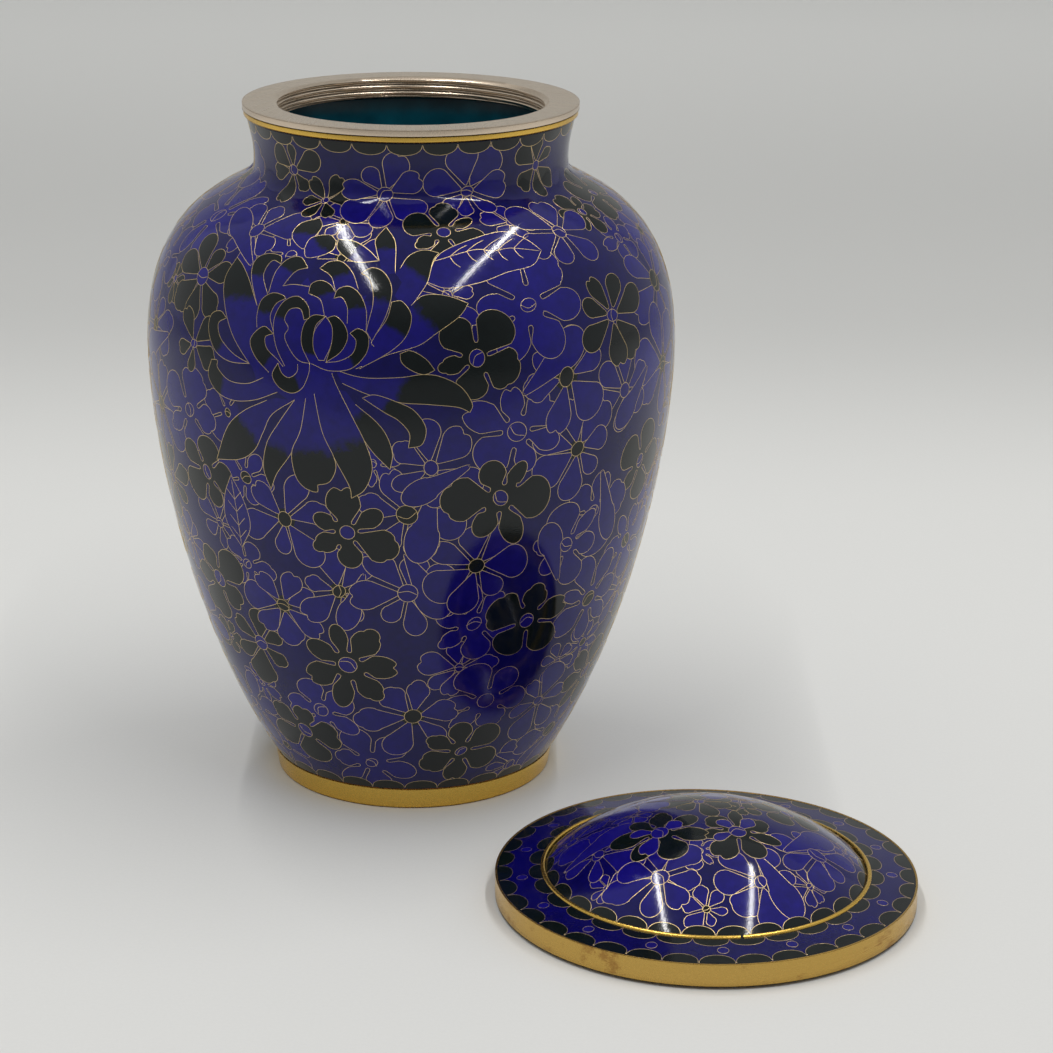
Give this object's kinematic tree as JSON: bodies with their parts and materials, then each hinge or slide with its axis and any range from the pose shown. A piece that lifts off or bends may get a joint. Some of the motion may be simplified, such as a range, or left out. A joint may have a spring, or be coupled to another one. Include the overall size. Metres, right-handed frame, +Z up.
{
  "type": "cloisonne vase",
  "caption": "Shouldered enamelled metal vase with a threaded metal collar in its mouth and a domed, flanged screw lid lying beside it.",
  "frame": {"origin": "table height, in the middle of the box round vase and lid", "axes": "+Z up along the vase's axis, -Y towards the viewer, +X to the side where the lid lies"},
  "size_m": [0.2344, 0.2516, 0.2165],
  "materials": {
    "copper": "spun copper, dull",
    "blue_enamel": "polished cloisonne enamel, dark blue and black-green with thin gilt wires",
    "turquoise_enamel": "plain blue-green enamel, glossy",
    "gilt": "gilt, brushed round the turning direction",
    "silver_plate": "turned, plated, satin"
  },
  "bodies": {
    "vase": {"copper_body": "copper", "cloisonne_skin": "blue_enamel", "turquoise_lining": "turquoise_enamel", "foot_ring": "gilt", "base_enamel": "turquoise_enamel", "mouth_band": "gilt", "threaded_collar": "silver_plate"},
    "lid": {"lid_copper": "copper", "lid_dome_enamel": "blue_enamel", "lid_flange_enamel": "blue_enamel", "lid_bead_ring": "gilt", "lid_rim_band": "gilt", "lid_thread_ring": "silver_plate", "lid_lining": "turquoise_enamel"}
  },
  "joints": [
    {"name": "lid_lift", "type": "slide", "parent": "vase", "child": "lid", "axis": [0.1116, -0.133, 0.9848], "range_m": [0, 0.25]}
  ]
}
